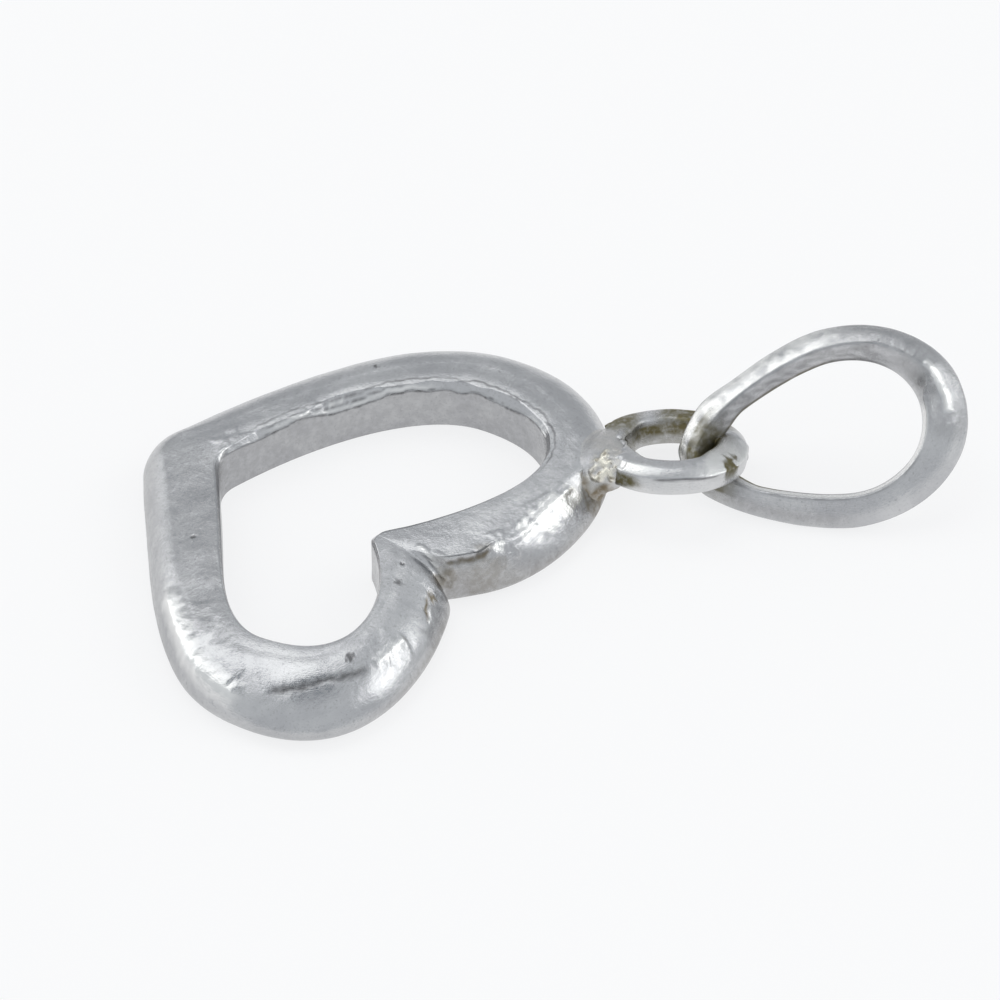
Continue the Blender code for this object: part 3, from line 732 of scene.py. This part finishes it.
def eyelet_section(path):
    """Offsets of the wire's section, where its facet lies, and how far the facet drops at the edge."""
    x, y = path[:, :1], path[:, 1:2]
    turn = np.linspace(0, 2 * pi, EYELET_SPOTS, endpoint=False)
    a = np.sign(np.cos(turn)) * np.abs(np.cos(turn)) ** EYELET_POWER * EYELET_WIDTH / 2
    h = np.sign(np.sin(turn)) * np.abs(np.sin(turn)) ** EYELET_POWER * EYELET_DEPTH / 2
    roll = EYELET_ROLL * x / EYELET_REACH[0] * np.sign(y)
    across, height = a * np.cos(roll) - h * np.sin(roll), a * np.sin(roll) + h * np.cos(roll)
    near_bar = ease((0.4 - y) / 1.4)
    upper = unit(height / EYELET_DEPTH * 2)
    # The facet starts near the outer edge on the left and crosses the whole bar at the right
    at_left, at_right = ease((-x - 0.4) / 0.8), ease((x - 0.2) / 1.6)
    start = 0.2 - 0.62 * at_right - 0.06 * at_left
    steepness = 0.5 - 0.2 * at_right + 0.08 * at_left
    facet = steepness * np.maximum(across - start, 0)
    on_facet = unit((across - start) / 0.05) * near_bar * unit(upper * 3 - 0.3)
    right_end = ease((x - 1.2) / 0.8) * (1 - near_bar)
    facet = facet * near_bar + 0.28 * right_end * unit(across / 0.5)
    height = height - (EYELET_SLOPE * near_bar * (across + EYELET_WIDTH / 2) + facet) * upper
    # The wire is thicker inside both ends of the hole
    fill = 0.28 * ease((-1.1 - x) / 1.1) + 0.3 * ease((x - 1) / 0.9)
    across = across - fill * unit(-across * 2)
    return across, height, on_facet, steepness * (0.5 - start)


def eyelet_wear_and_painted_light(flat, grid, normals, inward, on_facet, drop):
    """The eyelet's tarnish, painted shade, painted highlights and marring; flat is its smooth tube in
    its own frame.
    """
    x, y, z = flat[..., 0], flat[..., 1], flat[..., 2]
    outside = 1 - inward
    blotch = rolling(grid, 0.9, 13)
    # Tarnish inside the hole and over the far bar, with a bare spot on top of the bar
    far_bar = ease((y - 0.3) / 1.2)
    upper_half = ease((z + 0.1) / 0.12)
    tarnish = inward * (0.35 + 0.55 * far_bar * upper_half) * (0.85 + 0.15 * ease((blotch + 0.35) / 0.5))
    bare = bell(x + 0.75, 0.55) * ease((z - 0.25) / 0.15) * far_bar
    tarnish_and_shade = (tarnish + 0.95 * far_bar * outside) * (1 - bare)
    # A little of the shade colour all over, and painted shade with the tarnish colour in a dark crease
    # line inside the left end
    crease = bell(z + 0.08 + 0.05 * blotch, 0.065) * inward
    crease = crease * ease((-0.3 - x) / 0.8) * ease((y + 0.9) / 0.5)
    shade = 0.08 + 0.95 * crease
    tarnish_and_shade += 0.7 * crease
    # A dark seam at the right end, tarnish with painted shade inside that end, and tarnish under the
    # facet's left end
    ragged = rolling(flat, 0.25, 14)
    seam = ease((x - 1.92 - 0.1 * ragged) / 0.08) * ease((2.44 + 0.35 * ragged - x) / 0.14)
    seam = seam * ease((z + 0.4) / 0.35) * ease((0.7 * (x - 1.97) - 1.36 + 0.35 * ragged - y) / 0.16)
    dark_end = inward * ease((x - 1) / 0.5)
    tarnish_and_shade = unit(tarnish_and_shade + 0.95 * seam + 0.8 * dark_end)
    shade += 0.35 * seam
    from_spot = np.hypot((x + 2.05) / 0.8, (z + 0.2 + 0.2 * blotch) / 0.34)
    under_facet = ease(1.25 - from_spot) * ease(-y / 0.8) * outside
    tarnish_and_shade = unit(tarnish_and_shade + 1.1 * under_facet)
    # Painted highlight on the facet, strongest at its two ends, and painted shade in a dark line below
    # its lip
    on_facet = on_facet * ease((normals[..., 2] - 0.35) / 0.2)
    painted_highlight_and_cream = on_facet * (0.3 + 0.7 * np.maximum(ease((-0.9 - x) / 0.5), ease((x - 1.1) / 0.3)))
    lip = 0.47 - EYELET_SLOPE - drop - 0.04 * ease((0.4 - x) / 1.2)
    below = bell(z - lip, 0.05) * ease((-y - 1.4) / 0.3) * outside * (1 - on_facet)
    below = below * ease((x + 1) / 0.4) * ease((1.9 - x) / 0.4)
    shade += 0.85 * below
    at_foot = ease((-1.9 - x) / 0.7)
    tarnish_and_shade = unit(tarnish_and_shade + 0.35 * at_foot * ease((0.3 - normals[..., 2]) / 0.8))
    # Painted reflection: the near bar's outer wall lighter
    wall = ease(-y / 1.5) * ease((0.5 - normals[..., 2]) / 0.6) * outside
    painted_highlight_and_cream += 0.3 * wall * (1 - under_facet)
    painted_highlight_and_cream = unit(painted_highlight_and_cream) * (1 - below) * (1 - seam)
    marred = 0.3 + 0.5 * at_foot
    return dict(tarnish_and_shade=tarnish_and_shade, painted_highlight_and_cream=painted_highlight_and_cream, shade=shade, marred=marred)


def make_eyelet(material):
    path = eyelet_path()
    across, height, on_facet, drop = eyelet_section(path)
    flat = sweep(path, path_normals(path), across, height)
    normals = grid_normals(flat)
    rough = 0.016 * rolling(flat, 1.4, 11) + 0.008 * rolling(flat, 0.6, 12) - 0.012
    grid = flat + normals * rough[..., None]
    grid = grid @ eyelet_rotation().T + EYELET_AT
    inward = ease((-normals * path_normals(path)[:, None]).sum(axis=2) / 0.6)
    wear_and_painted_light = eyelet_wear_and_painted_light(flat, grid, normals, inward, on_facet, drop)
    eyelet = grid_mesh("eyelet", inside_box(grid, "eyelet_ring"), material, wear_and_painted_light)
    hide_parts("eyelet_ring")
    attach(eyelet, "pendant")
    return eyelet


def ridged_section(turn, ridge):
    """A rounded four-sided wire section of half width 1, with its front ridge moved aside by ridge."""
    zero, one = 0 * ridge, 0 * ridge + 1
    corners = ((ridge, one), (one, -0.15 * one), (zero, -one), (-one, -0.15 * one))
    total = np.zeros((len(ridge), len(turn)))
    for index, (x0, y0) in enumerate(corners):
        x1, y1 = corners[(index + 1) % 4]
        across, up = y0 - y1, x1 - x0
        size = np.hypot(across, up)
        distance = (across * x0 + up * y0) / size
        facing = (across[:, None] * np.cos(turn) + up[:, None] * np.sin(turn)) / size[:, None]
        total += np.maximum(facing / distance[:, None], 0) ** BAIL_POWER
    reach = 0.3 + 0.7 * total ** (-1 / BAIL_POWER)
    across, height = reach * np.cos(turn), reach * np.sin(turn)
    across /= np.abs(across).max(axis=1, keepdims=True)
    height /= np.maximum(np.abs(height).max(axis=1, keepdims=True), 1.0)
    return across, height


def bail_path():
    """The loop's middle line in its own frame and the wire's radius along it: x runs from the tip to
    the wide end, and the far arm is at positive y."""
    tip_wire, side_wire, end_wire, _ = BAIL_WIRES
    length = BAIL_LENGTH - (tip_wire + end_wire) / 2
    half = (BAIL_BREADTH - side_wire) / 2
    tip_pull, side_pull, shoulder_pull, end_pull = BAIL_PULLS
    x, y = np.array([1.0, 0, 0]), np.array([0, 1.0, 0])
    tip, end = x * 0, x * length
    right, left = x * BAIL_WIDEST_AT - y * half, x * BAIL_WIDEST_AT + y * half
    controls = (
        (tip, tip + y * tip_pull, tip - y * tip_pull),
        (right, right - x * side_pull, right + x * shoulder_pull),
        (end, end - y * end_pull, end + y * end_pull),
        (left, left + x * shoulder_pull, left - x * side_pull),
    )
    radii = np.array(BAIL_WIRES) / 2
    quarter = np.repeat(np.arange(4), BAIL_STEPS)
    share = ease(np.tile(np.linspace(0, 1, BAIL_STEPS + 1)[:-1], 4))
    radius = radii[quarter] * (1 - share) + radii[(quarter + 1) % 4] * share
    return closed_curve(controls, BAIL_STEPS), radius[:, None]


def bail_section(path, radius, turn, ridge):
    x, y = path[:, :1], path[:, 1:2]
    across, height = ridged_section(turn, ridge)
    across, height = radius * across, radius * height
    # The wire is thicker inside the tip and squared on its outer side, and thinner beside the eyelet
    across = across - 0.22 * ease((2.2 - x) / 1.3) * unit(-np.cos(turn))
    squared = 0.2 * bell(x - 1.3, 0.9) * ease(y / 0.5)
    squared = squared - 0.12 * ease((0.6 - x) / 0.5) * ease((0.4 - y) / 0.5)
    across = across + squared * unit(np.cos(turn))
    return across, height


def mark_bail(grid, normals, path, turn, ridge):
    """The bail with its bright streak raised, and its tarnish, painted shade, painted highlights and
    marring; turn is 0 on the outside of the loop and a quarter turn on its front."""
    x, y, turn = path[:, :1], path[:, 1:2], turn[None]
    at_tip = ease((2.3 - x) / 1.6)
    far_side = ease((y + 0.4) / 0.8)
    near_side = 1 - far_side
    blotch = rolling(grid, 0.8, 23)
    # Tarnish inside the tip, and painted shade on the tip's inner faces
    facing_in = ease((turn - radians(52)) / 0.35) * ease((radians(250) - turn) / 0.3)
    tarnish = at_tip * (0.12 + 0.7 * facing_in * ease((1.7 - x) / 1.2))
    tarnish_and_shade = tarnish * (0.7 + 0.3 * ease((blotch + 0.35) / 0.5))
    shade = 0.45 * at_tip * facing_in
    # Painted shade in dark lines along the inner edge and the crest, with the tarnish colour along the
    # inner edge, and the shade colour a little over the whole bail
    under = radians(165) + radians(13) * far_side
    edge_line = bell(turn - under, 0.14) * ease((9 - x) / 1)
    shade += 0.1 + edge_line * np.clip(0.9 + 0.8 * rolling(grid, 1.2, 24), 0.3, 1)
    crest = np.arctan2(1.0, ridge)[:, None]
    crease = bell(turn - crest, 0.055) * np.clip(0.8 + 1.3 * rolling(grid, 0.9, 25), 0.1, 1)
    shade += 0.45 * crease * (1 - ease((x - 8.6) / 0.8))
    tarnish_and_shade += 0.9 * edge_line * near_side * ease((3.4 - x) / 1)
    tarnish_and_shade += 0.5 * edge_line * far_side * ease((7 - x) / 2)
    # Painted highlight in the bright streak on the wide end, with painted shade beside it
    away, share = distance_to_path(grid, BAIL_CRESCENT)
    crescent = unit(1.15 - away / (0.18 + 0.06 * share))
    crescent = crescent * ease(share / 0.1) * ease((1 - share) / 0.1)
    grid = grid + normals * (0.04 * crescent)[..., None]
    beside = 1 - unit(crescent * 3)
    shade += 0.18 * ease((1.3 - away) / 0.6) * beside
    from_spot = norm(grid - BAIL_SHADE_SPOT, axis=-1)
    shade += 0.38 * bell(from_spot, 0.6) * beside
    # Painted highlights and painted shade on the facets: inside on the near arm, inside and outside on
    # the far arm
    inner_facet = ease((turn - radians(126)) / 0.12) * ease((radians(163) - turn) / 0.12)
    painted_highlight_and_cream = crescent + 0.8 * inner_facet * near_side * (1 - at_tip)
    streaky = np.clip(0.26 + 0.5 * rolling(grid * (1.0, 1.0, 2.5), 0.5, 27), 0.05, 0.5)
    shade += streaky * far_side * ease((turn - crest) / 0.12) * ease((9.5 - x) / 2)
    outer_facet = ease((crest - turn) / 0.15) * ease((turn + 0.1) / 0.2) * far_side
    shade += 0.2 * outer_facet * ease((x - 5) / 2) * ease((9.5 - x) / 1.5)
    outer_facet = outer_facet * ease((7.5 - x) / 2.5)
    painted_highlight_and_cream += outer_facet * unit(0.8 + 1.2 * rolling(grid, 0.35, 26)) * (1 - crease)
    # Painted shade in a dark rim and a painted highlight line beside it round the tip's outer side
    tip_side = ease((y + 0.45) / 0.4)
    rim = bell(np.angle(np.exp(1j * (turn + 0.07))), 0.13) * at_tip * ease((2.6 - x) / 0.6) * tip_side
    shade += rim
    painted_highlight_and_cream += 0.7 * at_tip * tip_side * ease((turn - 0.1) / 0.1) * ease((0.38 - turn) / 0.12)
    painted_highlight_and_cream = unit(painted_highlight_and_cream) * (1 - edge_line) * (1 - rim)
    # Painted shade on the near arm's outer face
    near_arm = ease((-y + 0.3) / 1.2) * ease((6.4 - x) / 2)
    shade += 0.32 * near_arm * bell(turn - radians(40), 0.75)
    marred = 0.3 + 0.5 * ease((-blotch - 0.05) / 0.4)
    return grid, clipped(dict(tarnish_and_shade=tarnish_and_shade, painted_highlight_and_cream=painted_highlight_and_cream, shade=shade, marred=marred))


def make_bail(material):
    path, radius = bail_path()
    turn = np.linspace(0, 2 * pi, BAIL_SPOTS, endpoint=False)
    ridge = keyed(BAIL_RIDGE, np.arange(len(path)) / len(path))[:, 0]
    across, height = bail_section(path, radius, turn, ridge)
    grid = sweep(path, path_normals(path), across, height)
    normals = grid_normals(grid)
    rough = 0.022 * rolling(grid, 2.2, 21) + 0.008 * rolling(grid, 0.8, 22) - 0.015
    grid = grid + normals * rough[..., None]
    place = np.array(BAIL_PLACE)
    grid = grid @ place[:, :3].T + place[:, 3]
    grid, wear_and_painted_light = mark_bail(grid, normals, path, turn, ridge)
    bail = grid_mesh("bail", inside_box(grid, "bail_loop"), material, wear_and_painted_light)
    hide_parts("bail_loop")
    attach(bail, "bail")


def ball(centre, radii, rows=12, columns=18):
    """Points in metres and faces of a stretched ball."""
    points, faces = [], []
    for row in range(rows + 1):
        fall = pi * row / rows
        for column in range(columns):
            around = 2 * pi * column / columns
            way = (sin(fall) * cos(around), sin(fall) * sin(around), cos(fall))
            points.append(tuple((c + r * w) * MM for c, r, w in zip(centre, radii, way)))
    for row in range(rows):
        for column in range(columns):
            a, b = row * columns + column, row * columns + (column + 1) % columns
            faces.append((a, a + columns, b + columns, b))
    return points, faces


def voxel_skin(sources, balls):
    """An even skin round several objects, which all stand at the origin, and balls."""
    shapes = [ball(*place) for place in balls]
    for source in sources:
        points = [tuple(vertex.co) for vertex in source.data.vertices]
        shapes.append((points, [tuple(polygon.vertices) for polygon in source.data.polygons]))
    all_points, all_faces = [], []
    for points, faces in shapes:
        start = len(all_points)
        all_points += points
        all_faces += [[start + index for index in face] for face in faces]
    mesh = bpy.data.meshes.new("merged")
    mesh.from_pydata(all_points, [], all_faces)
    obj = link_object("merged", mesh)
    remesh = obj.modifiers.new("even", "REMESH")
    remesh.mode = "VOXEL"
    remesh.voxel_size = SOLDER_VOXEL * MM
    graph = bpy.context.evaluated_depsgraph_get()
    skin = bpy.data.meshes.new_from_object(obj.evaluated_get(graph))
    bpy.data.objects.remove(obj)
    return skin


def mesh_points(mesh, what="co"):
    values = np.empty(len(mesh.vertices) * 3)
    mesh.vertices.foreach_get(what, values)
    return values.reshape(-1, 3)


def sink_foot(eyelet):
    """Makes the eyelet's foot thinner, so that it sinks into the solder."""
    points = mesh_points(eyelet.data)
    local = (points / MM - EYELET_AT) @ eyelet_rotation()
    from_foot = norm((local - FOOT_AT) / FOOT_RADII, axis=1)
    sunk = FOOT_SINK * MM * ease((1.3 + 0.6 * rolling(local, 0.4, 36) - from_foot) / 0.5)
    points = points - mesh_points(eyelet.data, "normal") * sunk[:, None]
    eyelet.data.vertices.foreach_set("co", points.ravel())
    eyelet.data.update()


def smoothed(points, faces, weight):
    edges = np.vstack([faces[:, [start, (start + 1) % 4]] for start in range(4)])
    edges = np.vstack([edges, edges[:, ::-1]])
    degree = np.bincount(edges[:, 0], minlength=len(points))[:, None]
    weight = weight[:, None] * (degree > 0)
    for _ in range(SOLDER_ROUNDS):
        mean = np.zeros_like(points)
        for axis in range(3):
            mean[:, axis] = np.bincount(edges[:, 0], points[edges[:, 1], axis], minlength=len(points))
        points += 0.6 * weight * (mean / np.maximum(degree, 1) - points)
    return points, weight[:, 0]


def solder_patch(skin):
    """The skin's points and faces near the eyelet's foot."""
    points = mesh_points(skin) / MM
    near = norm((points - SOLDER_AT) * (1.0, 1.0, 0.9), axis=1) < SOLDER_REACH
    index = np.cumsum(near) - 1
    faces = [list(polygon.vertices) for polygon in skin.polygons]
    faces = np.array([face for face in faces if len(face) == 4])
    return points[near], index[faces[near[faces].all(axis=1)]]


def make_solder(material, heart, eyelet):
    """Solder that runs from the eyelet's foot onto the lobe: a smoothed skin over both."""
    skin = voxel_skin((heart, eyelet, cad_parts["solder_joint"]), SOLDER_BALLS)
    sink_foot(eyelet)
    points, faces = solder_patch(skin)
    away = norm(points - SOLDER_AT, axis=1) / SOLDER_REACH
    points, weight = smoothed(points, faces, ease((1 - away) / 0.35))
    mesh = bpy.data.meshes.new("solder")
    mesh.from_pydata((points * MM).tolist(), [], faces.tolist())
    mesh.update()
    normals = mesh_points(mesh, "normal")
    # A rough, cream-coloured bead at the foot, and lumps towards the table; the skin's border sinks
    # into the lobe and the eyelet
    creamy = ease(1.4 - norm((points - SOLDER_CREAM) / (0.75, 0.6, 0.6), axis=1))
    creamy = unit(creamy + 1.6 * rolling(points, 0.28, 35) * ease(creamy * 3))
    bottom = ease((1.9 - points[:, 2]) / 0.6)
    lumps = (0.02 + 0.04 * bottom) * rolling(points, 0.6, 31)
    lumps = lumps + (0.02 * bottom + 0.05 * creamy) * rolling(points, 0.2, 32)
    sunk = 0.03 + 0.1 * (1 - weight) - 0.09 * creamy
    points = points + normals * (lumps * weight - sunk)[:, None]
    mesh.vertices.foreach_set("co", (points * MM).ravel())
    solder = link_object("solder", mesh)
    # Darker and browner towards the table, with dark specks there and on the bead
    warm = unit(0.35 + 1.1 * rolling(points, 0.8, 33))
    lower = ease((1.75 - points[:, 2] + 0.3 * rolling(points, 0.5, 34)) / 0.35)
    lower = lower * ease((points[:, 0] + 7.4) / 0.8)
    specks = ease((rolling(points, 0.16, 37) - 0.22) / 0.15) * np.maximum(lower, ease(creamy * 2))
    finish_mesh(mesh, material, {
        "tarnish_and_shade": unit((0.45 + 0.6 * warm) * lower * (1 - 0.8 * creamy) + 0.7 * specks),
        "painted_highlight_and_cream": creamy,
        "shade": 0.1 + 0 * warm,
        "marred": unit(0.2 + 0.8 * np.maximum(lower, creamy)),
    })
    mesh.uv_layers.new(name="band")
    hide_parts("solder_joint")
    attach(solder, "pendant")


def make_floor():
    mesh = bpy.data.meshes.new("floor")
    half = FLOOR_HALF_SIZE
    corners = [(-half, -half, 0), (half, -half, 0), (half, half, 0), (-half, half, 0)]
    mesh.from_pydata(corners, [], [(0, 1, 2, 3)])
    material = bpy.data.materials.new("floor")
    material.use_nodes = True
    shader = material.node_tree.nodes["Principled BSDF"]
    n = Nodes(material.node_tree)
    n.feed(shader, {"Base Color": FLOOR_COLOUR, "Roughness": 1.0, "Specular IOR Level": 0.0})
    rays = n.add("ShaderNodeLightPath").outputs
    seen = n.math("MAXIMUM", rays["Is Camera Ray"], rays["Is Glossy Ray"])
    seen = n.math("MAXIMUM", seen, rays["Is Transmission Ray"])
    glow = n.add("ShaderNodeEmission", {"Color": FLOOR_GLOW_COLOUR, "Strength": 1.0})
    share = n.math("MULTIPLY", seen, FLOOR_GLOW)
    mixed = n.add("ShaderNodeMixShader", {0: share, 1: shader.outputs[0], 2: glow.outputs[0]})
    n.feed(material.node_tree.nodes["Material Output"], {"Surface": mixed.outputs[0]})
    mesh.materials.append(material)
    floor = link_object("floor", mesh)
    floor.location = (0, 0, -FLOOR_DROP)


def sky_panel(n, direction, azimuth, fall, half_width, half_height, soft, level):
    """A soft rectangle of light in the sky."""
    a, f = radians(azimuth), radians(fall)
    centre = Vector((sin(f) * cos(a), sin(f) * sin(a), cos(f)))
    side = Vector((-sin(a), cos(a), 0))
    ahead = n.vector("DOT_PRODUCT", direction, tuple(centre))
    safe = n.math("MAXIMUM", ahead, 0.05)
    mask = n.mapped(ahead, 0.05, 0.2)
    for axis, reach in ((side, half_width), (centre.cross(side), half_height)):
        offset = n.math("DIVIDE", n.vector("DOT_PRODUCT", direction, tuple(axis)), safe)
        limit = tan(radians(reach))
        edge = n.mapped(n.math("ABSOLUTE", offset), limit * (1 - soft), limit * (1 + soft), 1.0, 0.0)
        mask = n.math("MULTIPLY", mask, edge)
    return n.math("MULTIPLY", mask, level)


def make_sky():
    world = bpy.data.worlds.new("studio")
    bpy.context.scene.world = world
    world.use_nodes = True
    n = Nodes(world.node_tree)
    direction = n.add("ShaderNodeTexCoord").outputs["Generated"]
    total = 0.0
    for panel in PANELS:
        total = n.math("ADD", total, sky_panel(n, direction, *panel))
    dim = radians(DIM_AZIMUTH)
    away = n.vector("DOT_PRODUCT", direction, (cos(dim), sin(dim), 0.0))
    base = n.mapped(away, 0.5, 0.95, SKY_LEVEL, SKY_LEVEL * DIM_SHARE)
    panels = n.vector("MULTIPLY", total, PANEL_TINT)
    colour = n.vector("ADD", panels, n.vector("MULTIPLY", base, SKY_TINT))
    n.feed(world.node_tree.nodes["Background"], {"Color": colour, "Strength": 1.0})


def make_camera():
    data = bpy.data.cameras.new("camera")
    data.lens = CAMERA_LENS
    data.sensor_width = 36.0
    data.clip_start = 0.01
    data.clip_end = 10.0
    camera = link_object("camera", data)
    camera.location = CAMERA_AT
    facing = Vector(CAMERA_TARGET) - Vector(CAMERA_AT)
    camera.rotation_euler = facing.to_track_quat("-Z", "Y").to_euler()
    bpy.context.scene.camera = camera


def main():
    bpy.context.scene.view_settings.view_transform = "Standard"
    heart_silver = silver("heart_silver", 1, LIGHT_SILVER, DARK_SILVER, HEART_TARNISH_AND_SHADE, 0.1)
    wire_silver = silver("wire_silver", 2, LIGHT_SILVER, DARK_SILVER, WIRE_TARNISH_AND_SHADE, 0.11, brushed=0.014)
    solder_silver = silver("solder", 3, WARM_SILVER, DARK_SILVER, SOLDER_TARNISH, 0.15, CREAM)
    heart = make_heart(heart_silver)
    eyelet = make_eyelet(wire_silver)
    make_bail(wire_silver)
    make_solder(solder_silver, heart, eyelet)
    make_floor()
    make_sky()
    make_camera()
    bpy.context.view_layer.update()


main()
